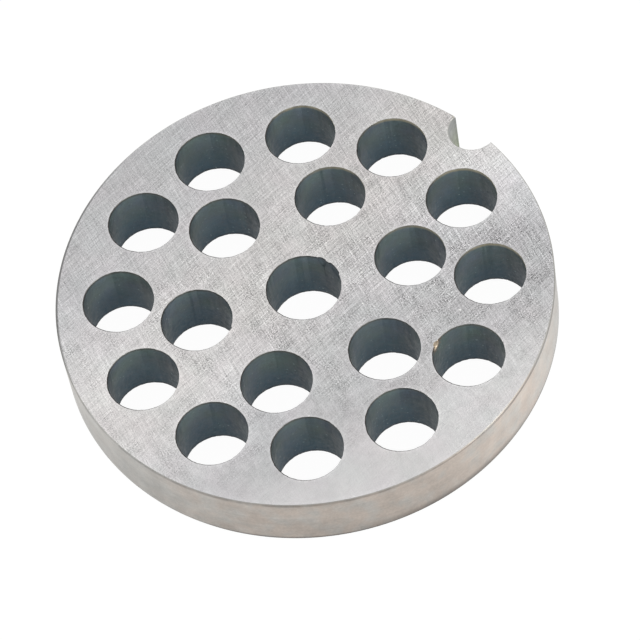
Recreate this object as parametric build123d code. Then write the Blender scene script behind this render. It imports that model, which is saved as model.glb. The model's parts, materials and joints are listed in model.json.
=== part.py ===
from build123d import *

import math
import os

# Cutting plate of a size 5 meat grinder: one hardened steel disc, ground flat on both faces.
#
# Meat is pushed through eighteen round perforations in two rings, and the knife shears it off on
# the upper face. The auger's pin turns in the bore in the middle. A half-round notch in the rim
# drops over the housing's locating pin, so that the plate can't turn with the knife.
#
# The frame's origin is in the middle of the lower face. +Z runs along the bore to the cutting face,
# and the notch lies towards +Y. Lengths are in millimetres and angles in degrees.

# The turned blank
PLATE_DIAMETER = 54.0
PLATE_THICKNESS = 7.1
TOP_CHAMFER = 0.12  # where the rim meets the cutting face
FOOT_CHAMFER = 0.25  # where the rim meets the back face

# The bore that the auger's 8 mm pin runs in
PIN_DIAMETER = 8.0
PIN_CLEARANCE = 0.05  # on the radius

# The perforations: a full ring near the rim, and half as many holes in the gaps of it further in
PERFORATION_DIAMETER = 7.7
OUTER_COUNT = 12
INNER_COUNT = 6
RIM_LAND = 3.05  # metal left between the outer ring's holes and the rim
RING_WEB = 1.35  # metal left between a hole of the outer ring and its neighbour of the inner ring

# The locating notch
NOTCH_RADIUS = 2.65
NOTCH_DEPTH = 2.9

# The notch's direction; both rings of perforations lie evenly about it
NOTCH_ANGLE = 90.0


def turned_blank():
    """The disc as it leaves the lathe, with both corners of the rim broken."""
    rim = PLATE_DIAMETER / 2
    top = PLATE_THICKNESS
    half_section = Polyline(
        (0, 0, 0),
        (rim - FOOT_CHAMFER, 0, 0),
        (rim, 0, FOOT_CHAMFER),
        (rim, 0, top - TOP_CHAMFER),
        (rim - TOP_CHAMFER, 0, top),
        (0, 0, top),
        close=True,
    )
    return revolve(make_face(half_section), Axis.Z)


def ring_radii():
    """The radii of the outer and the inner ring of perforations, worked out from the metal between them."""
    outer = PLATE_DIAMETER / 2 - RIM_LAND - PERFORATION_DIAMETER / 2
    # An inner hole's nearest outer neighbour stands half a pitch of the outer ring to one side of it.
    half_pitch = math.radians(180 / OUTER_COUNT)
    centre_distance = PERFORATION_DIAMETER + RING_WEB
    sideways = outer * math.sin(half_pitch)
    inner = outer * math.cos(half_pitch) - math.sqrt(centre_distance**2 - sideways**2)
    return outer, inner


def hole_pattern():
    """The outline of everything that is cut through the blank: both rings, the bore and the notch."""
    outer_radius, inner_radius = ring_radii()
    hole = Circle(PERFORATION_DIAMETER / 2)
    outer_ring = PolarLocations(outer_radius, OUTER_COUNT, NOTCH_ANGLE + 180 / OUTER_COUNT)
    inner_ring = PolarLocations(inner_radius, INNER_COUNT, NOTCH_ANGLE + 180 / INNER_COUNT)
    bore = Circle(PIN_DIAMETER / 2 + PIN_CLEARANCE)
    notch_centre = PLATE_DIAMETER / 2 - NOTCH_DEPTH + NOTCH_RADIUS
    notch = PolarLocations(notch_centre, 1, NOTCH_ANGLE) * Circle(NOTCH_RADIUS)
    return Sketch() + outer_ring * hole + inner_ring * hole + bore + notch


def grinder_plate():
    """The blank with its holes drilled and its notch milled, right through both faces."""
    return turned_blank() - extrude(hole_pattern(), PLATE_THICKNESS)


os.makedirs("parts", exist_ok=True)
plate = grinder_plate()
export_step(plate, "parts/grinder_plate.step")
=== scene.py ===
"""The looks of a meat grinder's cutting plate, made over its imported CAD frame.

The plate is one piece of hardened steel. Geometry Nodes turn the blank, drill the two rings of
perforations, the bore and the notch out of it, and knock the chips out of its edges. Its surfaces
are ground faces, a turned rim, hole walls dark with scale, and bare metal where an edge is broken.
"""

import json
import math

import bpy
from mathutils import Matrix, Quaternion, Vector


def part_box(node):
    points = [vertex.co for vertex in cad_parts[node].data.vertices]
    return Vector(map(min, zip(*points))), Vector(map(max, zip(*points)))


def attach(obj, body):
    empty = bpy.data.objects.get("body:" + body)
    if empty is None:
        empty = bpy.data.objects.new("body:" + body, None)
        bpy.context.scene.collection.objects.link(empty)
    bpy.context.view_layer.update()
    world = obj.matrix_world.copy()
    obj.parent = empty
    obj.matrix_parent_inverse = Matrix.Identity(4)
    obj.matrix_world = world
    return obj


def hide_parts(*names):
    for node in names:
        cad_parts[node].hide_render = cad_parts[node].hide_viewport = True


MM = 0.001

# The camera stands far off, with a long lens
CAMERA_AZIMUTH = math.radians(53.32)
CAMERA_ELEVATION = math.radians(57.11)
CAMERA_ROLL = math.radians(11.28)
CAMERA_DISTANCE = 454.2 * MM
CAMERA_TARGET = Vector((2.355, -0.493, 3.54)) * MM
CAMERA_LENS = 236.8
CAMERA_SENSOR = 36.0
CAMERA_CLIP = (10 * MM, 10.0)

# Soft boxes: name, place in mm, size in mm, watts and colour
LAMPS = [
    ("back", (-150, 110, 290), 140, 0.09, (1.0, 0.99, 0.97)),
    ("right", (190, 80, 150), 120, 0.16, (1.0, 0.97, 0.93)),
    ("left", (-130, -150, 160), 120, 0.09, (0.97, 0.99, 1.0)),
]
STUDIO_LIGHT = 0.66

# The floor lies just below the plate's foot. It lights the plate as plain paper does, and the
# camera sees a white of its own with a small part of the light that falls on it
FLOOR_REACH = 0.6
FLOOR_DROP = 0.02 * MM
FLOOR_PAPER = 0.80
FLOOR_WHITE = 0.965
FLOOR_LIT_PART = 0.07

# The sizes of the plate that the frame doesn't state, and how finely its shape is made
PERFORATION_RADIUS = 3.85 * MM
TOP_CHAMFER = 0.12 * MM
FOOT_CHAMFER = 0.25 * MM
NOTCH_RADIUS = 2.65 * MM
NOTCH_AXIS = 26.75 * MM  # from the bore's axis
BLANK_SEGMENTS = 360
CUTTER_SEGMENTS = 160
SHARP_CORNER = math.radians(22)

# A surface's finish goes by how upright its normal is, from 0 on a wall to 1 on a face: these are
# the most for a wall, for a chip at the bore and for the rim, and the least for a face
WALL_UPRIGHT, CHIP_UPRIGHT, RIM_UPRIGHT, FACE_UPRIGHT = 0.08, 0.6, 0.9, 0.999

# What use and grinding have left on the edges, and where shade is painted on them
EDGE_BREAK = 0.05 * MM
RAGGEDNESS = 0.06 * MM
EDGE_DRAG = Vector((-0.012, -0.10, 0.0)) * MM  # of the holes' upper mouths, by grinding
# Broken edges that face this way are painted dark, as shade
SHADED_EDGE_FACING = (0.12, 0.99, 0.0)  # broken edges that face this way are dull
CHIP_ROUGHNESS = 0.12 * MM
PLATE_SEED = 4.0

# The grinding lines: the directions of both passes, about the bore's axis from +X, how far their
# hair lines turn from them, the widths in mm, and how strong the last pass is beside the other
FINISH_PASS = math.radians(158.5)
CROSS_PASS = math.radians(90.5)
HAIR_TURN = 0.04
BROAD_LINE, HAIR_LINE, SCRATCH = 0.30, 0.115, 0.13
FINISH_SHARE = 0.88

# Chips in the edges of the upper face: x, y, half length, half width, half depth, turn in degrees
CHIPS_MM = [
    (-1.04, 3.87, 0.52, 0.18, 1.60, 15),
    (0.83, 3.88, 0.95, 0.20, 1.60, -12),
    (-7.80, 16.75, 0.34, 0.20, 0.50, -45),
    (-2.58, -8.85, 0.30, 0.22, 0.40, 115),
    (15.79, 3.93, 0.40, 0.26, 0.68, 109),
    (-2.72, 26.82, 0.34, 0.22, 0.22, 62),
]
RUST_MM = (15.78, 3.92, 6.72)  # in the chip by an outer hole
RUST_REACH = 0.72 * MM

# Nicks in the upper face, painted bright as glints: x, y and how far each reaches
GLINT_NICKS_MM = [
    (-10.15, -11.0, 0.16),
    (3.07, 5.69, 0.13),
    (3.45, 5.45, 0.12),
    (14.85, 8.73, 0.14),
    (6.3, 2.6, 0.12),
]

# Stretches of the faces painted lighter or darker, as highlight and shade: x, y, how far each is
# full and where it has faded, and how much lighter or darker it is
PAINTED_LIGHT_STRETCHES_MM = [
    (15, 15, 4, 16, -0.11),
    (11, -5, 4, 12, -0.06),
    (6, 25, 2, 9, 0.25),
    (-10, 22, 3, 10, -0.06),
    (-4, -21, 3, 14, 0.16),
    (-8, -18, 6, 24, 0.05),
    (5, -25, 2, 9, 0.06),
    (-23, 17, 2, 9, -0.10),
    (24, 8, 2, 9, 0.10),
]

# Where the rim's marks are, in degrees about the bore's axis from +X
# The first mark is a stretch of painted shade, and the third a painted highlight
PAINTED_SHADE_AT = -58
BROWN_AT = -22
PAINTED_HIGHLIGHT_AT = 14
# These two are painted shade at the foot: a dark line, and a broad band
FOOT_SHADOW_LINE_AT = -5
FOOT_SHADE_AT = -9
WIDE_LINE_AT = 40
BURR_AT = -146

# The hole walls that face one way or its opposite are lightest, as painted light, and those that
# face the other way have less of the straw tint and are a little darker, as painted shade
PAINTED_LIGHT_WALL = (0.929, -0.369, 0.0)
SIDE_WALL = (0.598, 0.802, 0.0)

# Colours, as they show on a display
FACE_COOL, FACE_WARM = (0.777, 0.778, 0.793), (0.797, 0.783, 0.769)
FACE_GREENISH, FACE_PINKISH = (0.779, 0.786, 0.784), (0.794, 0.780, 0.787)
FACE_PIT, FACE_GLINT = (0.42, 0.41, 0.42), (0.97, 0.97, 0.96)
RIM_STEEL, RIM_BROWN = (0.765, 0.765, 0.75), (0.80, 0.755, 0.715)
SCALE_BLUE, SCALE_GREEN = (0.300, 0.346, 0.388), (0.308, 0.369, 0.356)
SCALE_DEEP, SCALE_STRAW, SCALE_SPECK = (0.20, 0.350, 0.425), (0.74, 0.71, 0.61), (0.60, 0.68, 0.68)
NOTCH_STEEL, NOTCH_FOOT = (0.68, 0.69, 0.68), (0.71, 0.74, 0.64)
EDGE_DULL_AND_SHADED, EDGE_BRIGHT_AND_LIT = (0.26, 0.25, 0.24), (0.80, 0.80, 0.78)
RUST_STAIN, RUST_CORE = (0.52, 0.42, 0.33), (1.0, 0.93, 0.83)


def linear(colour):
    """A colour as it shows on a display, turned into the linear values that a shader takes."""
    channels = [c / 12.92 if c <= 0.04045 else ((c + 0.055) / 1.055) ** 2.4 for c in colour]
    return (*channels, 1.0)


# ---------------------------------------------------------------------------------------------
# Small tools for building node trees


def node(tree, kind, inputs=None, **settings):
    """Adds a node. inputs gives each socket, by name or index, a value or another node's output."""
    made = tree.nodes.new(kind)
    for name, value in settings.items():
        setattr(made, name, value)
    for key, value in (inputs or {}).items():
        if isinstance(value, bpy.types.NodeSocket):
            tree.links.new(value, made.inputs[key])
        else:
            made.inputs[key].default_value = value
    return made


def calc(tree, operation, *values):
    """The result of a Math node."""
    made = node(tree, "ShaderNodeMath", dict(enumerate(values)), operation=operation)
    return made.outputs[0]


def product(tree, first, *others):
    """Two or more numbers multiplied."""
    for other in others:
        first = calc(tree, "MULTIPLY", first, other)
    return first


def largest(tree, first, *others):
    """The largest of two or more numbers."""
    for other in others:
        first = calc(tree, "MAXIMUM", first, other)
    return first


def summed(tree, base, *parts):
    """base with each part added, a part being a value and how much of it is taken."""
    for value, amount in parts:
        base = calc(tree, "MULTIPLY_ADD", value, amount, base)
    return base


def vector_calc(tree, operation, *values):
    """The result of a Vector Math node."""
    made = node(tree, "ShaderNodeVectorMath", dict(enumerate(values)), operation=operation)
    gives_number = operation in ("LENGTH", "DISTANCE", "DOT_PRODUCT")
    return made.outputs["Value" if gives_number else "Vector"]


def blend(tree, amount, first, second):
    """A number that goes from first to second as amount goes from 0 to 1."""
    inputs = {"Factor": amount, "A": first, "B": second}
    return node(tree, "ShaderNodeMix", inputs).outputs["Result"]


def blend_colour(tree, amount, first, second, how="MIX"):
    """A colour that goes from first to second as amount goes from 0 to 1.

    first and second are outputs of nodes, or colours as they show on a display.
    """
    first, second = (linear(c) if isinstance(c, tuple) else c for c in (first, second))
    inputs = {0: amount, 6: first, 7: second}
    return node(tree, "ShaderNodeMix", inputs, data_type="RGBA", blend_type=how).outputs[2]


def ramp(tree, value, low, high, to_low=0.0, to_high=1.0):
    """value from low to high, spread over to_low to to_high and held there past both ends."""
    spread = {"From Min": low, "From Max": high, "To Min": to_low, "To Max": to_high}
    return node(tree, "ShaderNodeMapRange", {"Value": value, **spread}).outputs["Result"]


def ramp_mm(tree, length, low_mm, high_mm, to_low=0.0, to_high=1.0):
    """A ramp over a length, with its limits in millimetres."""
    return ramp(tree, length, low_mm * MM, high_mm * MM, to_low, to_high)


def swing(tree, value):
    """The middle of a noise's values, spread over -1 to 1."""
    return ramp(tree, value, 0.3, 0.7, -1.0, 1.0)


def split(tree, vector):
    """The x, y and z of a vector."""
    return tuple(node(tree, "ShaderNodeSeparateXYZ", {0: vector}).outputs)


def join(tree, x, y, z):
    """A vector of three numbers."""
    return node(tree, "ShaderNodeCombineXYZ", {0: x, 1: y, 2: z}).outputs[0]


def noise(tree, vector, scale=1.0, detail=2.0, roughness=0.5):
    """A Noise Texture node over vector."""
    inputs = {"Vector": vector, "Scale": scale, "Detail": detail, "Roughness": roughness}
    return node(tree, "ShaderNodeTexNoise", inputs)


def tool_marks(tree, position, per_metre, detail=2.0):
    """Noise drawn out as a cutting tool leaves it, with so many marks a metre along each axis."""
    drawn = vector_calc(tree, "MULTIPLY", position, per_metre)
    return noise(tree, drawn, 1.0, detail, 0.6).outputs[0]


def sector(tree, position, degrees, low, high):
    """A mask that is strongest in one direction from the bore's axis.

    It rises from 0 to 1 as the cosine of the angle from that direction goes from low to high.
    """
    x, y, _ = split(tree, position)
    outward = vector_calc(tree, "NORMALIZE", join(tree, x, y, 0.0))
    aim = (math.cos(math.radians(degrees)), math.sin(math.radians(degrees)), 0.0)
    return ramp(tree, vector_calc(tree, "DOT_PRODUCT", outward, aim), low, high)


def facing(tree, direction):
    """How nearly a surface faces in a direction: 1 if it does, -1 if it faces the other way."""
    normal = node(tree, "ShaderNodeNewGeometry").outputs["Normal"]
    return vector_calc(tree, "DOT_PRODUCT", normal, direction)


def toned(tree, colour, tone):
    """A colour made lighter or darker by a number."""
    shade = node(tree, "ShaderNodeCombineColor", {0: tone, 1: tone, 2: tone}).outputs[0]
    return blend_colour(tree, 1.0, colour, shade, "MULTIPLY")


def new_group(name, kind, inputs, outputs):
    """A node group. inputs gives each input's name its socket type and its value to start with."""
    tree = bpy.data.node_groups.new(name, kind)
    for label, (socket_type, value) in inputs.items():
        socket = tree.interface.new_socket(label, in_out="INPUT", socket_type=socket_type)
        if value is not None:
            socket.default_value = value
    for label, socket_type in outputs.items():
        tree.interface.new_socket(label, in_out="OUTPUT", socket_type=socket_type)
    return tree, tree.nodes.new("NodeGroupInput").outputs, tree.nodes.new("NodeGroupOutput")


def finish_group(tree, result, values):
    """Links a group's results to its output node."""
    for label, value in values.items():
        tree.links.new(value, result.inputs[label])
    return tree


def use(tree, group, inputs):
    """Places a node group in a tree and gives its outputs."""
    kind = "GeometryNodeGroup" if tree.bl_idname == GEOMETRY_TREE else "ShaderNodeGroup"
    return node(tree, kind, inputs, node_tree=group).outputs


FLOAT, INT, VECTOR = "NodeSocketFloat", "NodeSocketInt", "NodeSocketVector"
GEOMETRY = "NodeSocketGeometry"
SHADER_TREE, GEOMETRY_TREE = "ShaderNodeTree", "GeometryNodeTree"


# ---------------------------------------------------------------------------------------------
# Effects that several finishes share, as shader node groups


def streak_group():
    """Lines of one grinding pass, from -1 to 1: noise drawn out along a direction."""
    tree, given, result = new_group(
        "streaks",
        SHADER_TREE,
        {
            "Position": (VECTOR, None),
            "Direction": (FLOAT, 0.0),
            "Length": (FLOAT, 4 * MM),
            "Width": (FLOAT, 0.3 * MM),
            "Seed": (FLOAT, 0.0),
        },
        {"Value": FLOAT},
    )
    turned = node(
        tree,
        "ShaderNodeVectorRotate",
        {"Vector": given["Position"], "Angle": product(tree, given["Direction"], -1.0)},
        rotation_type="Z_AXIS",
    ).outputs[0]
    x, y, _ = split(tree, turned)
    along = calc(tree, "DIVIDE", x, given["Length"])
    across = calc(tree, "DIVIDE", y, given["Width"])
    drawn = join(tree, along, across, given["Seed"])
    lines = noise(tree, drawn, detail=1.5, roughness=0.9).outputs[0]
    return finish_group(tree, result, {"Value": swing(tree, lines)})


def speck_group():
    """Scattered small round specks, as a mask. Share is how many of the cells hold one."""
    tree, given, result = new_group(
        "specks",
        SHADER_TREE,
        {
            "Position": (VECTOR, None),
            "Spacing": (FLOAT, 1.0 * MM),
            "Size": (FLOAT, 0.1 * MM),
            "Share": (FLOAT, 0.5),
        },
        {"Mask": FLOAT},
    )
    cells = node(
        tree,
        "ShaderNodeTexVoronoi",
        {"Vector": given["Position"], "Scale": calc(tree, "DIVIDE", 1.0, given["Spacing"])},
    )
    chance, own_chance, _ = split(tree, cells.outputs["Color"])
    reach = product(tree, cells.outputs["Distance"], given["Spacing"])
    own_size = product(tree, given["Size"], calc(tree, "ADD", own_chance, 0.4))
    near = ramp(tree, calc(tree, "DIVIDE", reach, own_size), 0.6, 1.1, 1.0, 0.0)
    kept = calc(tree, "LESS_THAN", chance, given["Share"])
    return finish_group(tree, result, {"Mask": product(tree, near, kept)})


def mottle_group():
    """Soft irregular patches: how light each is, and how far it leans from cool to warm."""
    tree, given, result = new_group(
        "mottling",
        SHADER_TREE,
        {"Position": (VECTOR, None), "Patch": (FLOAT, 6 * MM), "Seed": (FLOAT, 0.0)},
        {"Tone": FLOAT, "Warmth": FLOAT},
    )
    scaled = vector_calc(tree, "SCALE", given["Position"])
    tree.links.new(calc(tree, "DIVIDE", 1.0, given["Patch"]), scaled.node.inputs["Scale"])
    shifted = vector_calc(tree, "ADD", scaled, join(tree, given["Seed"], 0.0, given["Seed"]))
    elsewhere = vector_calc(tree, "ADD", shifted, (17.3, 5.1, 9.7))
    tone = ramp(tree, noise(tree, shifted, detail=3.0, roughness=0.55).outputs[0], 0.3, 0.7)
    warmth = ramp(tree, noise(tree, elsewhere, detail=2.0).outputs[0], 0.32, 0.68)
    return finish_group(tree, result, {"Tone": tone, "Warmth": warmth})


def ring_distance_group():
    """How far a point lies outside the nearest hole of a ring of holes about the bore's axis."""
    tree, given, result = new_group(
        "distance from a ring of holes",
        SHADER_TREE,
        {
            "Position": (VECTOR, None),
            "Count": (FLOAT, 12.0),
            "Ring Radius": (FLOAT, 20 * MM),
            "Hole Radius": (FLOAT, 4 * MM),
        },
        {"Distance": FLOAT},
    )
    x, y, _ = split(tree, given["Position"])
    reach = vector_calc(tree, "LENGTH", join(tree, x, y, 0.0))
    half_pitch = calc(tree, "DIVIDE", math.pi, given["Count"])
    # The holes lie evenly about +Y, with none on it.
    angle = calc(tree, "SUBTRACT", calc(tree, "ARCTAN2", y, x), math.pi / 2)
    folded = calc(tree, "WRAP", calc(tree, "SUBTRACT", angle, half_pitch), half_pitch)
    tree.links.new(product(tree, half_pitch, -1.0), folded.node.inputs[2])
    outward = product(tree, reach, calc(tree, "COSINE", folded))
    along = calc(tree, "SUBTRACT", outward, given["Ring Radius"])
    across = product(tree, reach, calc(tree, "SINE", folded))
    from_centre = vector_calc(tree, "LENGTH", join(tree, along, across, 0.0))
    distance = calc(tree, "SUBTRACT", from_centre, given["Hole Radius"])
    return finish_group(tree, result, {"Distance": distance})


def rust_group():
    """A small spot of fresh rust: its pale core, and the stain about it, as masks."""
    tree, given, result = new_group(
        "rust spot",
        SHADER_TREE,
        {"Position": (VECTOR, None), "Place": (VECTOR, None), "Reach": (FLOAT, 0.5 * MM)},
        {"Core": FLOAT, "Stain": FLOAT},
    )
    away = vector_calc(tree, "DISTANCE", given["Position"], given["Place"])
    uneven = noise(tree, given["Position"], 3500.0, 2.0).outputs[0]
    own_reach = product(tree, given["Reach"], calc(tree, "ADD", uneven, 0.5))
    share = calc(tree, "DIVIDE", away, own_reach)
    core = ramp(tree, share, 0.55, 0.85, 1.0, 0.0)
    stain = ramp(tree, share, 0.9, 1.5, 1.0, 0.0)
    return finish_group(tree, result, {"Core": core, "Stain": stain})


def mottling(tree, groups, position, patch_mm, seed):
    """The mottling group, placed: its outputs Tone and Warmth."""
    inputs = {"Position": position, "Patch": patch_mm * MM, "Seed": seed}
    return use(tree, groups["mottling"], inputs)


def specks(tree, groups, position, spacing_mm, size_mm, share):
    """The speck group, placed: its mask."""
    inputs = {"Position": position, "Spacing": spacing_mm * MM, "Size": size_mm * MM}
    return use(tree, groups["specks"], {**inputs, "Share": share})["Mask"]


def rusted(tree, groups, position, colour):
    """A colour with the plate's one rust spot laid over it."""
    place = tuple(c * MM for c in RUST_MM)
    inputs = {"Position": position, "Place": place, "Reach": RUST_REACH}
    rust = use(tree, groups["rust"], inputs)
    colour = blend_colour(tree, product(tree, rust["Stain"], 0.6), colour, RUST_STAIN)
    return blend_colour(tree, product(tree, rust["Core"], 0.95), colour, RUST_CORE)


# ---------------------------------------------------------------------------------------------
# Finishes


def new_material(name, metallic):
    """A material with a Principled shader, whose metallic value sits on the shader's own socket."""
    material = bpy.data.materials.new(name)
    material.use_nodes = True
    shader = material.node_tree.nodes["Principled BSDF"]
    shader.inputs["Metallic"].default_value = metallic
    position = node(material.node_tree, "ShaderNodeTexCoord").outputs["Object"]
    return material, material.node_tree, shader, position


def set_looks(tree, shader, colour, roughness, height, relief_mm):
    """Links what changes over a surface to its shader: colour, roughness and height."""
    tree.links.new(colour, shader.inputs["Base Color"])
    tree.links.new(roughness, shader.inputs["Roughness"])
    bump = node(
        tree,
        "ShaderNodeBump",
        {"Strength": 1.0, "Distance": relief_mm * MM, "Height": height},
    )
    tree.links.new(bump.outputs[0], shader.inputs["Normal"])


def ground_face_material(groups, plate):
    """Both flat faces: bright steel with fine grinding lines that cross, and cloudy patches."""
    material, tree, shader, position = new_material("ground_face", 0.8)
    x, y, _ = split(tree, position)
    flat = join(tree, x, y, 0.0)

    def streaks(direction, length_mm, width_mm, seed):
        shape = {"Direction": direction, "Length": length_mm * MM, "Width": width_mm * MM}
        return use(tree, groups["streaks"], {"Position": position, **shape, "Seed": seed})["Value"]

    def away_from(x_mm, y_mm):
        """How far a point of the face lies from a place on it."""
        return vector_calc(tree, "DISTANCE", flat, (x_mm * MM, y_mm * MM, 0.0))

    def outside(ring):
        """How far a point of the face lies outside the holes of a ring."""
        inputs = {"Position": position, **plate[ring]}
        return use(tree, groups["ring distance"], inputs)["Distance"]

    # Two passes of grinding cross, and each has broad lines and hair lines.
    last = streaks(FINISH_PASS, 5.0, BROAD_LINE, 1.0)
    last_hair = streaks(FINISH_PASS + HAIR_TURN, 4.2, HAIR_LINE, 2.0)
    cross = streaks(CROSS_PASS, 4.0, BROAD_LINE, 3.0)
    cross_hair = streaks(CROSS_PASS - HAIR_TURN, 4.0, HAIR_LINE, 4.0)
    broad = summed(tree, cross, (last, FINISH_SHARE))
    hair = summed(tree, cross_hair, (last_hair, FINISH_SHARE))
    lines = summed(tree, hair, (broad, 0.30))
    # A few deeper scratches catch the light, in each pass and at an angle of their own.
    deep = 0.0
    for direction, seed in (
        (FINISH_PASS - 0.03, 5.0),
        (CROSS_PASS + 0.05, 6.0),
        (FINISH_PASS + 0.35, 8.0),
    ):
        scratch = ramp(tree, streaks(direction, 7.0, SCRATCH, seed), 0.45, 0.75)
        deep = largest(tree, scratch, deep)
    grain = swing(tree, noise(tree, position, 6200.0, 1.0, 0.8).outputs[0])

    # The metal is burnished bright close to the edges of the holes.
    nearest = outside("outer ring")
    for ring in ("inner ring", "bore ring"):
        nearest = calc(tree, "MINIMUM", nearest, outside(ring))
    lip = ramp_mm(tree, nearest, 0.12, 0.42, 1.0, 0.0)

    # The outer land is rubbed smooth on one side, where few of the lines are left.
    across = summed(tree, product(tree, x, 0.85), (y, -0.5))
    rubbed = ramp_mm(tree, across, 13, 23)
    smoother = ramp_mm(tree, across, 0, 12)
    clouds = mottling(tree, groups, position, 9, 3.0)
    lined = product(
        tree,
        blend(tree, mottling(tree, groups, position, 8, 11.0)["Tone"], 0.75, 1.25),
        ramp_mm(tree, x, -20, -4, 0.66, 1.0),
        ramp_mm(tree, away_from(7, 12), 5, 15, 1.3, 1.0),
        summed(tree, 1.0, (rubbed, -0.8)),
        summed(tree, 1.0, (lip, -0.6)),
    )
    hatched = product(tree, lined, ramp_mm(tree, across, 3, 15, 1.0, 0.5))
    # Dirt sits in the lines in small dark clusters, and there are more of them on one side.
    dirty = product(
        tree,
        ramp(tree, mottling(tree, groups, position, 2.2, 7.0)["Tone"], 0.6, 0.15),
        ramp_mm(tree, across, -14, 4, 0.15, 1.0),
        ramp_mm(tree, across, 17, 24, 1.0, 0.1),
    )
    gritty = product(
        tree, summed(tree, 1.0, (dirty, 1.4)), lined, summed(tree, 1.0, (smoother, -0.35))
    )
    # Where the lines are few, soft blotches show instead.
    blotches = product(
        tree,
        calc(tree, "SUBTRACT", mottling(tree, groups, position, 0.9, 19.0)["Tone"], 0.5),
        ramp(tree, rubbed, 0.5, 1.0, 1.0, 0.4),
        smoother,
    )
    tone = summed(
        tree,
        1.0,
        (product(tree, lines, hatched), 0.245),
        (product(tree, grain, gritty), 0.26),
        (dirty, -0.13),
        (product(tree, deep, hatched), 0.22),
        (blotches, 0.15),
    )

    # Painted highlights and painted shade in stretches of the face, among them a lighter outer land
    # and a darker left side.
    outer_land = summed(tree, product(tree, x, 0.98), (y, -0.21))
    painted_light_and_shade = [
        ramp_mm(tree, outer_land, 16.5, 22, 0.0, 0.14),
        ramp_mm(tree, x, -26, -11, -0.14, 0.0),
    ]
    for x_mm, y_mm, near, far, change in PAINTED_LIGHT_STRETCHES_MM:
        painted_light_and_shade.append(ramp_mm(tree, away_from(x_mm, y_mm), near, far, change, 0.0))
    for painted_patch in painted_light_and_shade:
        tone = calc(tree, "ADD", tone, painted_patch)
    tone = summed(tree, tone, (clouds["Tone"], 0.09), (lip, 0.06))

    # At the rim the face ends in a light lip, and in a stretch of dark burr on one side.
    edge = calc(tree, "SUBTRACT", plate["radius"], vector_calc(tree, "LENGTH", flat))
    tone = calc(tree, "ADD", tone, ramp_mm(tree, edge, 0.2, 0.7, 0.06, 0.0))
    burr = product(
        tree,
        ramp_mm(tree, edge, 0.20, 0.30, 1.0, 0.0),
        sector(tree, position, BURR_AT, 0.80, 0.96),
    )
    tone = product(tree, tone, summed(tree, 1.0, (burr, -0.6)))

    # A few dark pits, and painted glints: light specks and the nicks painted bright.
    pits = specks(tree, groups, position, 2.2, 0.09, 0.25)
    elsewhere = vector_calc(tree, "ADD", position, (0.05, 0.02, 0.0))
    painted_glints = product(tree, specks(tree, groups, elsewhere, 1.5, 0.10, 0.45), 0.6)
    for x_mm, y_mm, size in GLINT_NICKS_MM:
        nick_glint = ramp_mm(tree, away_from(x_mm, y_mm), 0.5 * size, size, 1.0, 0.0)
        painted_glints = largest(tree, painted_glints, nick_glint)

    # The steel is warmer in a band across the middle and on the outer land.
    from_band = calc(tree, "ABSOLUTE", calc(tree, "ADD", x, 5 * MM))
    warmth = calc(
        tree,
        "ADD",
        ramp_mm(tree, from_band, 3, 13, 0.65, 0.0),
        ramp_mm(tree, outer_land, 16, 23, 0.0, 0.35),
    )
    warmth = summed(tree, warmth, (clouds["Warmth"], 0.3))
    tint = mottling(tree, groups, position, 3.5, 15.0)["Warmth"]
    steel = blend_colour(
        tree,
        0.5,
        blend_colour(tree, warmth, FACE_COOL, FACE_WARM),
        blend_colour(tree, tint, FACE_GREENISH, FACE_PINKISH),
    )
    colour = toned(tree, steel, tone)
    pitted = product(tree, pits, ramp_mm(tree, across, 8, 15, 0.5, 0.1))
    colour = blend_colour(tree, pitted, colour, FACE_PIT)
    colour = blend_colour(tree, painted_glints, colour, FACE_GLINT)

    roughness = summed(tree, blend(tree, clouds["Tone"], 0.50, 0.44), (lip, -0.08))
    set_looks(tree, shader, colour, roughness, summed(tree, lines, (pits, -2.0)), 0.008)
    return material


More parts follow.
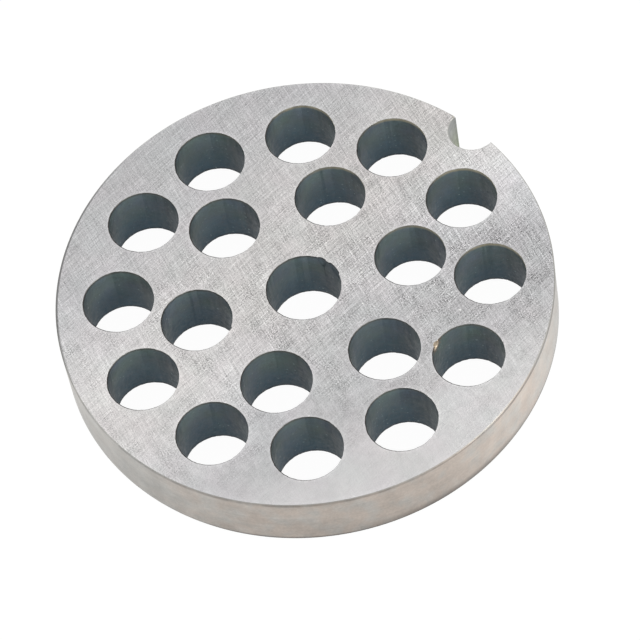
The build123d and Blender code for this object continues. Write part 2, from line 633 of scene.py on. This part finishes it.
def turned_rim_material(groups, plate):
    """The turned rim: smooth, faint bands round it, a brown stretch, painted shade and highlight.
    """
    material, tree, shader, position = new_material("turned_rim", 0.75)
    z = split(tree, position)[2]
    depth = calc(tree, "SUBTRACT", plate["thickness"], z)
    bands = tool_marks(tree, position, (60.0, 60.0, 2600.0), 3.0)
    clouds = mottling(tree, groups, position, 2.2, 21.0)
    grain = swing(tree, noise(tree, position, 3500.0, 2.0, 0.7).outputs[0])
    # One stretch is darkened as painted shade, and another lightened as a painted highlight.
    painted_shade = sector(tree, position, PAINTED_SHADE_AT, 0.35, 0.92)
    brown = sector(tree, position, BROWN_AT, 0.45, 0.85)
    tone = summed(
        tree,
        0.90,
        (swing(tree, bands), 0.05),
        (clouds["Tone"], 0.17),
        (grain, 0.06),
        (sector(tree, position, PAINTED_HIGHLIGHT_AT, 0.90, 0.99), 0.15),
        (painted_shade, -0.16),
    )

    # Both stretches darken downwards as painted shade, and more painted shade lies at the foot in
    # a broad band and a dark line.
    tone = calc(
        tree,
        "SUBTRACT",
        tone,
        product(tree, ramp_mm(tree, z, 0.3, 6.5, 0.12, 0.0), largest(tree, painted_shade, brown)),
    )
    foot_shadow_line = product(
        tree,
        ramp_mm(tree, z, 0.30, 0.60, 0.68, 0.0),
        sector(tree, position, FOOT_SHADOW_LINE_AT, 0.2, 0.6),
    )
    foot_shade = product(
        tree,
        ramp_mm(tree, z, 0.50, 1.30, 0.47, 0.0),
        sector(tree, position, FOOT_SHADE_AT, 0.88, 0.975),
    )
    # Under the upper edge runs a thin broken line of painted shade, and a wider dark line towards
    # the notch.
    below_edge = ramp_mm(tree, depth, 0.04, 0.14)
    thin_shade_line = product(
        tree,
        below_edge,
        ramp_mm(tree, depth, 0.26, 0.44, 1.0, 0.0),
        ramp(tree, noise(tree, position, 500.0, 2.0).outputs[0], 0.35, 0.6, 0.34, 0.82),
        summed(tree, 0.35, (brown, 0.12)),
    )
    wide_line = product(
        tree,
        below_edge,
        ramp_mm(tree, depth, 0.42, 0.64, 0.52, 0.0),
        sector(tree, position, WIDE_LINE_AT, 0.70, 0.86),
    )
    burr = product(
        tree,
        ramp_mm(tree, depth, 0.1, 0.3, 0.65, 0.0),
        sector(tree, position, BURR_AT, 0.80, 0.96),
    )
    dark = largest(tree, thin_shade_line, wide_line, foot_shadow_line, burr, foot_shade)
    tone = product(tree, tone, calc(tree, "SUBTRACT", 1.0, dark))

    warmth = product(
        tree,
        summed(tree, 0.30, (brown, 0.75)),
        summed(tree, 0.35, (clouds["Warmth"], 0.9)),
        ramp_mm(tree, depth, 0.0, 0.12),
    )
    colour = toned(tree, blend_colour(tree, warmth, RIM_STEEL, RIM_BROWN), tone)
    roughness = blend(tree, bands, 0.36, 0.50)
    set_looks(tree, shader, colour, roughness, summed(tree, bands, (grain, 0.15)), 0.006)
    return material


def hole_scale_material(groups, plate):
    """The hole walls: blue-grey scale from hardening, with greener clouds and light specks."""
    material, tree, shader, position = new_material("hole_scale", 0.35)
    _, y, z = split(tree, position)
    depth = calc(tree, "SUBTRACT", plate["thickness"], z)
    clouds = mottling(tree, groups, position, 3.0, 31.0)
    fine = mottling(tree, groups, position, 0.45, 37.0)["Tone"]
    drawn_down = vector_calc(tree, "MULTIPLY", position, (1.0, 1.0, 0.2))
    runs = mottling(tree, groups, drawn_down, 1.6, 33.0)
    drill_marks = tool_marks(tree, position, (250.0, 250.0, 4200.0))
    lit_facing, turn = facing(tree, PAINTED_LIGHT_WALL), facing(tree, SIDE_WALL)

    # Painted light makes the scale lightest on two sides of every hole, painted shade darkens it
    # downwards, and it is darker at both mouths.
    tone = product(
        tree,
        summed(
            tree,
            0.95,
            (clouds["Tone"], 0.50),
            (runs["Tone"], 0.08),
            (fine, 0.60),
            (swing(tree, drill_marks), 0.03),
        ),
        ramp(tree, calc(tree, "ABSOLUTE", lit_facing), 0.5, 1.0, 0.41, 0.97),
        ramp(tree, turn, -0.16, 0.03, 1.05, 0.97),
        ramp_mm(tree, z, 0, 7, 0.40, 1.46),
        ramp_mm(tree, calc(tree, "MINIMUM", depth, z), 0.15, 0.45, 0.38, 1.0),
    )
    # It is blue or green in clouds, and a deeper blue towards the foot.
    greenness = summed(tree, product(tree, clouds["Warmth"], 0.8), (runs["Warmth"], 0.2))
    scale = blend_colour(tree, greenness, SCALE_BLUE, SCALE_GREEN)
    scale = blend_colour(tree, ramp_mm(tree, z, 0.0, 4.5, 1.0, 0.0), scale, SCALE_DEEP)
    colour = toned(tree, scale, tone)

    # A straw tint runs under the upper edge, mostly on the notch's side of the plate.
    straw = product(
        tree,
        ramp_mm(tree, depth, 0.20, 0.55, 0.95, 0.0),
        ramp(tree, clouds["Warmth"], 0.0, 0.4, 0.3, 1.0),
        ramp_mm(tree, y, 8, 16, 0.12, 1.0),
        ramp(tree, turn, 0.3, 0.8, 1.0, 0.15),
    )
    colour = blend_colour(tree, straw, colour, SCALE_STRAW)
    speckled = product(
        tree,
        specks(tree, groups, position, 0.42, 0.10, 0.32),
        ramp(tree, clouds["Tone"], 0.3, 0.7, 0.10, 0.48),
    )
    colour = blend_colour(tree, speckled, colour, SCALE_SPECK)
    colour = rusted(tree, groups, position, colour)

    roughness = blend(tree, fine, 0.42, 0.60)
    set_looks(tree, shader, colour, roughness, summed(tree, fine, (drill_marks, 0.3)), 0.015)
    return material


def notch_cut_material(groups):
    """The notch's wall: cut steel, lighter than the holes, greenish at its foot."""
    material, tree, shader, position = new_material("notch_cut", 0.6)
    _, y, z = split(tree, position)
    clouds = mottling(tree, groups, position, 1.0, 41.0)["Tone"]
    cut_marks = tool_marks(tree, position, (2400.0, 2400.0, 300.0))
    steel = blend_colour(tree, ramp_mm(tree, z, 1.0, 6.0, 1.0, 0.0), NOTCH_STEEL, NOTCH_FOOT)
    # It is darker at the back of the notch, as painted shade.
    tone = product(
        tree,
        summed(tree, 0.64, (clouds, 0.25), (swing(tree, cut_marks), 0.12)),
        ramp_mm(tree, y, 24.0, 25.8, 0.50, 1.0),
    )
    roughness = blend(tree, clouds, 0.5, 0.38)
    set_looks(tree, shader, toned(tree, steel, tone), roughness, cut_marks, 0.015)
    return material


def bare_edge_material(groups):
    """Broken edges and chips: bare metal, mostly dulled, painted shade and light, rust in one chip.
    """
    material, tree, shader, position = new_material("bare_edge", 0.7)
    y = split(tree, position)[1]
    grain = noise(tree, position, 4000.0, 2.0, 0.6).outputs[0]
    clouds = mottling(tree, groups, position, 1.5, 51.0)["Tone"]
    # Edges are painted dark as shade where they face one way, and bright as lit where they face
    # back, less bright in patches.
    edge_wear_and_light = product(
        tree,
        ramp(tree, clouds, 0.2, 0.8, 0.3, 1.0),
        ramp(tree, facing(tree, SHADED_EDGE_FACING), -0.2, 0.3, 1.0, 0.0),
    )
    # The notch's edges are painted bright all round, as a highlight.
    edge_wear_and_light = largest(tree, edge_wear_and_light, ramp_mm(tree, y, 23.6, 24.2, 0.0, 0.9))
    steel = blend_colour(tree, edge_wear_and_light, EDGE_DULL_AND_SHADED, EDGE_BRIGHT_AND_LIT)
    colour = rusted(tree, groups, position, steel)
    set_looks(tree, shader, colour, blend(tree, grain, 0.35, 0.55), grain, 0.01)
    return material


# ---------------------------------------------------------------------------------------------
# The plate's shape, as Geometry Nodes


def cut_out(tree, mesh, cutters):
    """A mesh with other meshes taken out of it."""
    inputs = {"Mesh 1": mesh, "Mesh 2": cutters}
    how = {"operation": "DIFFERENCE", "solver": "EXACT"}
    return node(tree, "GeometryNodeMeshBoolean", inputs, **how).outputs["Mesh"]


def shifted_points(tree, mesh, offset):
    """A mesh with each of its points moved by an offset."""
    return node(tree, "GeometryNodeSetPosition", {"Geometry": mesh, "Offset": offset}).outputs[0]


def turned_form_tree():
    """A turned shape of four rings: one at each end, and one a shoulder's length in from it.

    With a flare of 1 the shoulders widen towards the ends at 45 degrees, and with -1 they narrow.
    """
    tree, given, result = new_group(
        "turned form",
        GEOMETRY_TREE,
        {
            "Segments": (INT, 96),
            "Radius": (FLOAT, 1.0),
            "Low": (FLOAT, 0.0),
            "High": (FLOAT, 1.0),
            "Low Shoulder": (FLOAT, 0.1),
            "High Shoulder": (FLOAT, 0.1),
            "Flare": (FLOAT, 1.0),
        },
        {"Mesh": GEOMETRY},
    )
    # The cylinder's rings stand at -1, -1/3, 1/3 and 1, and are then moved to their real places.
    rings = node(
        tree,
        "GeometryNodeMeshCylinder",
        {"Vertices": given["Segments"], "Side Segments": 3, "Radius": 1.0, "Depth": 2.0},
    )
    x, y, z = split(tree, node(tree, "GeometryNodeInputPosition").outputs[0])
    at_end = calc(tree, "GREATER_THAN", calc(tree, "ABSOLUTE", z), 0.5)
    at_top = calc(tree, "GREATER_THAN", z, 0.0)
    shoulder = blend(tree, at_top, given["Low Shoulder"], given["High Shoulder"])
    radius = calc(tree, "ADD", given["Radius"], product(tree, given["Flare"], shoulder, at_end))
    inward = product(tree, shoulder, calc(tree, "SUBTRACT", 1.0, at_end))
    end = blend(tree, at_top, given["Low"], given["High"])
    height = calc(tree, "SUBTRACT", end, product(tree, calc(tree, "SIGN", z), inward))
    place = join(tree, product(tree, x, radius), product(tree, y, radius), height)
    formed = node(
        tree, "GeometryNodeSetPosition", {"Geometry": rings.outputs["Mesh"], "Position": place}
    )
    return finish_group(tree, result, {"Mesh": formed.outputs[0]})


def chips_tree():
    """Rough lumps on the given points, which carry each lump's size and turn."""
    tree, given, result = new_group(
        "chips",
        GEOMETRY_TREE,
        {"Points": (GEOMETRY, None), "Seed": (FLOAT, 0.0)},
        {"Mesh": GEOMETRY},
    )

    def carried(name):
        """What the points carry under a name."""
        read = node(
            tree, "GeometryNodeInputNamedAttribute", {"Name": name}, data_type="FLOAT_VECTOR"
        )
        return read.outputs["Attribute"]

    lump = node(tree, "GeometryNodeMeshIcoSphere", {"Radius": 1.0, "Subdivisions": 3})
    placed = node(
        tree,
        "GeometryNodeInstanceOnPoints",
        {
            "Points": given["Points"],
            "Instance": lump.outputs["Mesh"],
            "Scale": carried("size"),
            "Rotation": carried("turn"),
        },
    )
    solid = node(tree, "GeometryNodeRealizeInstances", {"Geometry": placed.outputs[0]})
    position = node(tree, "GeometryNodeInputPosition").outputs[0]
    lifted = vector_calc(tree, "ADD", position, join(tree, given["Seed"], 0.0, 0.0))
    rough = noise(tree, lifted, 2200.0, 2.0, 0.6).outputs["Color"]
    centred = vector_calc(tree, "SUBTRACT", rough, (0.5, 0.5, 0.5))
    offset = vector_calc(tree, "MULTIPLY", centred, (CHIP_ROUGHNESS,) * 3)
    return finish_group(tree, result, {"Mesh": shifted_points(tree, solid.outputs[0], offset)})


def plate_tree(materials):
    """The whole plate: a blank, less its rings of holes, its bore, its notch and its chips."""
    turned_form, chips = turned_form_tree(), chips_tree()
    tree, given, result = new_group(
        "drilled plate",
        GEOMETRY_TREE,
        {
            "Chip Points": (GEOMETRY, None),
            "Plate Radius": (FLOAT, 27 * MM),
            "Thickness": (FLOAT, 7 * MM),
            "Top Chamfer": (FLOAT, 0.1 * MM),
            "Foot Chamfer": (FLOAT, 0.25 * MM),
            "Bore Radius": (FLOAT, 4 * MM),
            "Hole Radius": (FLOAT, 4 * MM),
            "Outer Count": (INT, 12),
            "Outer Ring Radius": (FLOAT, 20 * MM),
            "Inner Count": (INT, 6),
            "Inner Ring Radius": (FLOAT, 12 * MM),
            "Notch Radius": (FLOAT, 2.6 * MM),
            "Notch Axis": (FLOAT, 26.7 * MM),
            "Edge Break": (FLOAT, 0.07 * MM),
            "Edge Drag": (VECTOR, None),
            "Raggedness": (FLOAT, 0.1 * MM),
            "Seed": (FLOAT, 0.0),
        },
        {"Mesh": GEOMETRY},
    )
    blank = use(
        tree,
        turned_form,
        {
            "Segments": BLANK_SEGMENTS,
            "Radius": given["Plate Radius"],
            "Low": 0.0,
            "High": given["Thickness"],
            "Low Shoulder": given["Foot Chamfer"],
            "High Shoulder": given["Top Chamfer"],
            "Flare": -1.0,
        },
    )["Mesh"]

    def drill(radius):
        """A cutter that flares at both ends, so that it breaks the edges of the hole it makes."""
        shoulder = product(tree, given["Edge Break"], 2.0)
        return use(
            tree,
            turned_form,
            {
                "Segments": CUTTER_SEGMENTS,
                "Radius": radius,
                "Low": product(tree, given["Edge Break"], -1.0),
                "High": calc(tree, "ADD", given["Thickness"], given["Edge Break"]),
                "Low Shoulder": shoulder,
                "High Shoulder": shoulder,
                "Flare": 1.0,
            },
        )["Mesh"]

    def moved(geometry, **how):
        """Geometry turned by a Rotation or moved by a Translation, as a whole."""
        return node(tree, "GeometryNodeTransform", {"Geometry": geometry, **how}).outputs[0]

    def ring_of_drills(count, ring_radius):
        """Cutters on a circle, evenly about +Y with none on it."""
        circle = node(tree, "GeometryNodeMeshCircle", {"Vertices": count, "Radius": ring_radius})
        first = calc(tree, "ADD", calc(tree, "DIVIDE", math.pi, count), math.pi / 2)
        turned = moved(circle.outputs[0], Rotation=join(tree, 0.0, 0.0, first))
        on_points = {"Points": turned, "Instance": drill(given["Hole Radius"])}
        return node(tree, "GeometryNodeInstanceOnPoints", on_points).outputs[0]

    notch_place = join(tree, 0.0, given["Notch Axis"], 0.0)
    cutters = node(tree, "GeometryNodeJoinGeometry")
    for cutter in (
        ring_of_drills(given["Outer Count"], given["Outer Ring Radius"]),
        ring_of_drills(given["Inner Count"], given["Inner Ring Radius"]),
        drill(given["Bore Radius"]),
        moved(drill(given["Notch Radius"]), Translation=notch_place),
    ):
        tree.links.new(cutter, cutters.inputs[0])
    realised = node(tree, "GeometryNodeRealizeInstances", {"Geometry": cutters.outputs[0]})

    # The cutters waver a little at both ends, and so do the edges that they leave.
    position = node(tree, "GeometryNodeInputPosition").outputs[0]
    waver_at = vector_calc(tree, "ADD", position, join(tree, 0.0, 0.0, given["Seed"]))
    waver = noise(tree, waver_at, 1800.0, 2.0, 0.7).outputs["Color"]
    waver_x, waver_y, _ = split(tree, vector_calc(tree, "SUBTRACT", waver, (0.5, 0.5, 0.5)))
    amount = product(tree, given["Raggedness"], 2.0)
    offset = join(tree, product(tree, waver_x, amount), product(tree, waver_y, amount), 0.0)
    above = calc(tree, "GREATER_THAN", split(tree, position)[2], given["Thickness"])
    drag = vector_calc(tree, "MULTIPLY", given["Edge Drag"], join(tree, above, above, above))
    offset = vector_calc(tree, "ADD", offset, drag)
    drilled = cut_out(tree, blank, shifted_points(tree, realised.outputs[0], offset))
    lumps = use(tree, chips, {"Points": given["Chip Points"], "Seed": given["Seed"]})["Mesh"]
    chipped = cut_out(tree, drilled, lumps)

    # Smooth walls, with every real corner kept sharp.
    def shaded(geometry, domain, is_smooth, **chosen):
        """Geometry with its faces, or its chosen edges, shaded smooth or sharp."""
        inputs = {0: geometry, "Shade Smooth": is_smooth, **chosen}
        return node(tree, "GeometryNodeSetShadeSmooth", inputs, domain=domain).outputs[0]

    bend = node(tree, "GeometryNodeInputMeshEdgeAngle").outputs["Unsigned Angle"]
    corner = calc(tree, "GREATER_THAN", bend, SHARP_CORNER)
    creased = shaded(shaded(chipped, "FACE", True), "EDGE", False, Selection=corner)
    dressed = node(tree, "GeometryNodeRealizeInstances", {"Geometry": creased}).outputs[0]

    # Each surface takes its finish from where it lies and which way it faces.
    x, y, _ = split(tree, node(tree, "GeometryNodeInputPosition").outputs[0])
    normal = node(tree, "GeometryNodeInputNormal").outputs[0]
    upright = calc(tree, "ABSOLUTE", split(tree, normal)[2])
    from_axis = vector_calc(tree, "LENGTH", join(tree, x, y, 0.0))
    past_notch = calc(tree, "SUBTRACT", y, given["Notch Axis"])
    from_notch = vector_calc(tree, "LENGTH", join(tree, x, past_notch, 0.0))
    rim_inside = calc(tree, "SUBTRACT", given["Plate Radius"], given["Foot Chamfer"])

    def within(distance, radius, share):
        """Whether a distance is under a share of a radius."""
        return calc(tree, "LESS_THAN", distance, product(tree, radius, share))

    on_wall = calc(tree, "LESS_THAN", upright, WALL_UPRIGHT)
    off_face = calc(tree, "LESS_THAN", upright, RIM_UPRIGHT)
    steep = calc(tree, "LESS_THAN", upright, CHIP_UPRIGHT)
    bore_chip = product(tree, within(from_axis, given["Bore Radius"], 1.1), steep)
    by_rim = calc(tree, "GREATER_THAN", from_axis, rim_inside)
    by_notch = within(from_notch, given["Notch Radius"], 1.01)
    for material, chosen in (
        (materials["bare edge"], True),
        (materials["hole scale"], largest(tree, on_wall, bore_chip)),
        (materials["turned rim"], product(tree, off_face, by_rim)),
        (materials["notch cut"], product(tree, on_wall, by_notch)),
        (materials["ground face"], calc(tree, "GREATER_THAN", upright, FACE_UPRIGHT)),
    ):
        inputs = {"Geometry": dressed, "Material": material, "Selection": chosen}
        dressed = node(tree, "GeometryNodeSetMaterial", inputs).outputs[0]
    return finish_group(tree, result, {"Mesh": dressed})


def chip_points():
    """A mesh of one point for each chip, with its size and turn as attributes."""
    mesh = bpy.data.meshes.new("chip points")
    mesh.from_pydata([(x * MM, y * MM, top_of_plate()) for x, y, *_ in CHIPS_MM], [], [])
    size = mesh.attributes.new("size", "FLOAT_VECTOR", "POINT")
    turn = mesh.attributes.new("turn", "FLOAT_VECTOR", "POINT")
    for index, (_, _, length, width, depth, degrees) in enumerate(CHIPS_MM):
        size.data[index].vector = (length * MM, width * MM, depth * MM)
        turn.data[index].vector = (0.0, 0.0, math.radians(degrees))
    return mesh


def top_of_plate():
    """The height of the cutting face."""
    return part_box("grinder_plate")[1].z


def evaluated_mesh(carrier, name):
    """The plain mesh that an object's modifiers make."""
    seen = carrier.evaluated_get(bpy.context.evaluated_depsgraph_get())
    mesh = bpy.data.meshes.new_from_object(seen)
    mesh.name = name
    return mesh


def into_scene(name, data):
    """A new object in the scene, made of a mesh, a light or a camera."""
    made = bpy.data.objects.new(name, data)
    bpy.context.scene.collection.objects.link(made)
    return made


def make_plate(materials, sizes):
    """Runs the plate's tree and keeps its result as a plain mesh that stands for the CAD plate."""
    carrier = into_scene("plate maker", chip_points())
    modifier = carrier.modifiers.new("drilled plate", "NODES")
    modifier.node_group = plate_tree(materials)
    for socket in modifier.node_group.interface.items_tree:
        if socket.item_type == "SOCKET" and socket.in_out == "INPUT" and socket.name in sizes:
            modifier[socket.identifier] = sizes[socket.name]
    carrier.update_tag()
    plate = into_scene("cutting_plate", evaluated_mesh(carrier, "cutting_plate"))
    bpy.data.objects.remove(carrier)
    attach(plate, "root")
    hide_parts("grinder_plate")


# ---------------------------------------------------------------------------------------------
# Floor, light and camera


def grey(value):
    """A grey, or white, as a shader takes it."""
    return (value, value, value, 1.0)


def make_floor():
    """A plain white floor that keeps a soft shadow of the plate."""
    mesh = bpy.data.meshes.new("floor")
    corners = [(-1, -1), (1, -1), (1, 1), (-1, 1)]
    places = [(x * FLOOR_REACH, y * FLOOR_REACH, -FLOOR_DROP) for x, y in corners]
    mesh.from_pydata(places, [], [(0, 1, 2, 3)])
    floor = into_scene("floor", mesh)
    material = bpy.data.materials.new("floor_paper")
    material.use_nodes = True
    tree = material.node_tree
    tree.nodes.clear()
    rays = node(tree, "ShaderNodeLightPath").outputs
    seen = largest(
        tree, rays["Is Camera Ray"], rays["Is Glossy Ray"], rays["Is Transmission Ray"]
    )
    paper = node(tree, "ShaderNodeBsdfDiffuse", {"Color": grey(FLOOR_PAPER)})
    lit_part = node(tree, "ShaderNodeBsdfDiffuse", {"Color": grey(FLOOR_LIT_PART)})
    own_white = node(tree, "ShaderNodeEmission", {"Color": grey(1.0), "Strength": FLOOR_WHITE})
    white = node(tree, "ShaderNodeAddShader", {0: lit_part.outputs[0], 1: own_white.outputs[0]})
    mixed = node(tree, "ShaderNodeMixShader", {0: seen, 1: paper.outputs[0], 2: white.outputs[0]})
    node(tree, "ShaderNodeOutputMaterial", {"Surface": mixed.outputs[0]})
    mesh.materials.append(material)


def make_world():
    """An even pale studio, which looks white behind the plate."""
    world = bpy.data.worlds.new("studio")
    bpy.context.scene.world = world
    world.use_nodes = True
    tree = world.node_tree
    tree.nodes.clear()
    seen = node(tree, "ShaderNodeLightPath").outputs["Is Camera Ray"]
    light, backdrop = (
        node(tree, "ShaderNodeBackground", {"Color": grey(1.0), "Strength": strength}).outputs[0]
        for strength in (STUDIO_LIGHT, 1.0)
    )
    mixed = node(tree, "ShaderNodeMixShader", {0: seen, 1: light, 2: backdrop})
    node(tree, "ShaderNodeOutputWorld", {"Surface": mixed.outputs[0]})


def make_lamp(name, place_mm, size_mm, watts, colour):
    """A square soft box that faces the plate."""
    light = bpy.data.lights.new(name, "AREA")
    light.shape = "SQUARE"
    light.size = size_mm * MM
    light.energy = watts
    light.color = colour
    lamp = into_scene(name, light)
    place = Vector(place_mm) * MM
    lamp.location = place
    lamp.rotation_mode = "QUATERNION"
    lamp.rotation_quaternion = place.to_track_quat("Z", "Y")


def make_camera():
    """A long lens that looks down on the plate, with a slight roll."""
    camera = into_scene("camera", bpy.data.cameras.new("camera"))
    camera.data.lens = CAMERA_LENS
    camera.data.sensor_width = CAMERA_SENSOR
    camera.data.clip_start, camera.data.clip_end = CAMERA_CLIP
    level = math.cos(CAMERA_ELEVATION)
    away = Vector(
        (
            math.sin(CAMERA_AZIMUTH) * level,
            -math.cos(CAMERA_AZIMUTH) * level,
            math.sin(CAMERA_ELEVATION),
        )
    )
    camera.location = CAMERA_TARGET + away * CAMERA_DISTANCE
    camera.rotation_mode = "QUATERNION"
    camera.rotation_quaternion = away.to_track_quat("Z", "Y") @ Quaternion((0, 0, 1), -CAMERA_ROLL)
    bpy.context.scene.camera = camera


def mount(record, name):
    """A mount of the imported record, by name."""
    return next(m for m in record["mounts"] if m["name"] == name)


def opening_ring(record, name):
    """How many openings carry this name, and how far from the axis their middles lie."""
    boxes = [o["box_m"] for o in record["physics"]["openings"] if o["name"].startswith(name)]
    middle = (Vector(boxes[0][0]) + Vector(boxes[0][1])) / 2
    return len(boxes), middle.xy.length


def ring_of_holes(count, ring_radius, hole_radius):
    """The inputs that the ring distance group takes for one ring."""
    return {"Count": count, "Ring Radius": ring_radius, "Hole Radius": hole_radius}


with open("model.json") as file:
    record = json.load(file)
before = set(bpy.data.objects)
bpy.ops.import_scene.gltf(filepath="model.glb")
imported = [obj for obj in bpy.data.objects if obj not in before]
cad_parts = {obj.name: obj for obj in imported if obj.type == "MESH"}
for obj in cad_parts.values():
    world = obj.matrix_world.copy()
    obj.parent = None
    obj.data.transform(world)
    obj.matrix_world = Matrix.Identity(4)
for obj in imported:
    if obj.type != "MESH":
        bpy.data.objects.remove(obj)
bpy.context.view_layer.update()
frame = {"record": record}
_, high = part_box("grinder_plate")
outer_count, outer_radius = opening_ring(frame["record"], "outer_perforation")
inner_count, inner_radius = opening_ring(frame["record"], "inner_perforation")
bore_radius = mount(frame["record"], "auger_bore")["dims"]["r_mm"] * MM

effects = {
    "streaks": streak_group(),
    "specks": speck_group(),
    "mottling": mottle_group(),
    "ring distance": ring_distance_group(),
    "rust": rust_group(),
}
pattern = {
    "thickness": high.z,
    "radius": high.x,
    "outer ring": ring_of_holes(outer_count, outer_radius, PERFORATION_RADIUS),
    "inner ring": ring_of_holes(inner_count, inner_radius, PERFORATION_RADIUS),
    "bore ring": ring_of_holes(1.0, 0.0, bore_radius),
}
finishes = {
    "ground face": ground_face_material(effects, pattern),
    "turned rim": turned_rim_material(effects, pattern),
    "hole scale": hole_scale_material(effects, pattern),
    "notch cut": notch_cut_material(effects),
    "bare edge": bare_edge_material(effects),
}
make_plate(
    finishes,
    {
        "Plate Radius": high.x,
        "Thickness": high.z,
        "Top Chamfer": TOP_CHAMFER,
        "Foot Chamfer": FOOT_CHAMFER,
        "Bore Radius": bore_radius,
        "Hole Radius": PERFORATION_RADIUS,
        "Outer Count": outer_count,
        "Outer Ring Radius": outer_radius,
        "Inner Count": inner_count,
        "Inner Ring Radius": inner_radius,
        "Notch Radius": NOTCH_RADIUS,
        "Notch Axis": NOTCH_AXIS,
        "Edge Break": EDGE_BREAK,
        "Edge Drag": EDGE_DRAG,
        "Raggedness": RAGGEDNESS,
        "Seed": PLATE_SEED,
    },
)

bpy.context.scene.view_settings.view_transform = "Standard"
make_world()
make_floor()
for lamp in LAMPS:
    make_lamp(*lamp)
make_camera()
